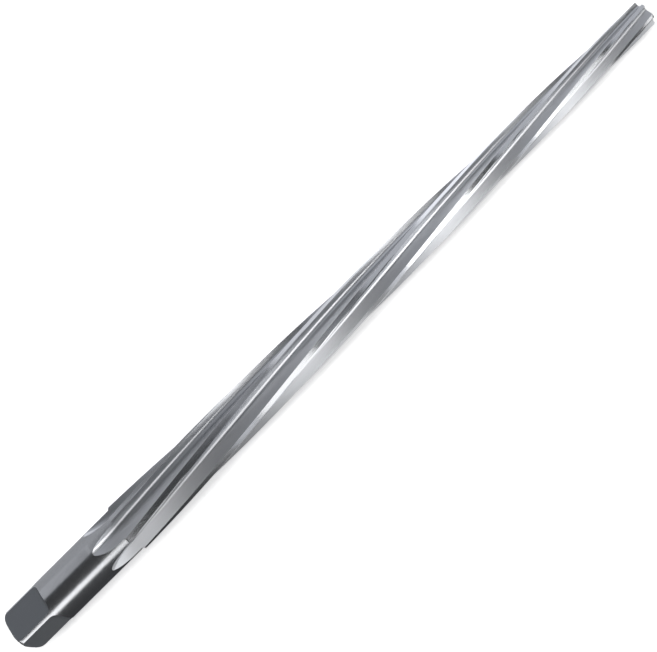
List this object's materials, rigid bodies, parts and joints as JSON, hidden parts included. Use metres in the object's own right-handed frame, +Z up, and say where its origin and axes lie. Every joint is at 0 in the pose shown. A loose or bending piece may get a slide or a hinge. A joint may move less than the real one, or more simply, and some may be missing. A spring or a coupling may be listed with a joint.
{
  "type": "taper pin reamer",
  "caption": "Slim hand reamer: a plain round shank with a square drive, and a long tapered cutting length with left-hand helical flutes for reaming tapered pin holes.",
  "frame": {"origin": "on the surface that the reamer lies on, under the middle of its bounding box", "axes": "+X along the reamer towards its tip, +Z up. It lies on the lower side of its taper, so its own axis is 1.08 degrees off +X, with the tip low."},
  "size_m": [0.2501, 0.016, 0.0161],
  "materials": {
    "tool_steel": "bright ground, milled square"
  },
  "bodies": {
    "root": {"reamer": "tool_steel"}
  },
  "joints": []
}
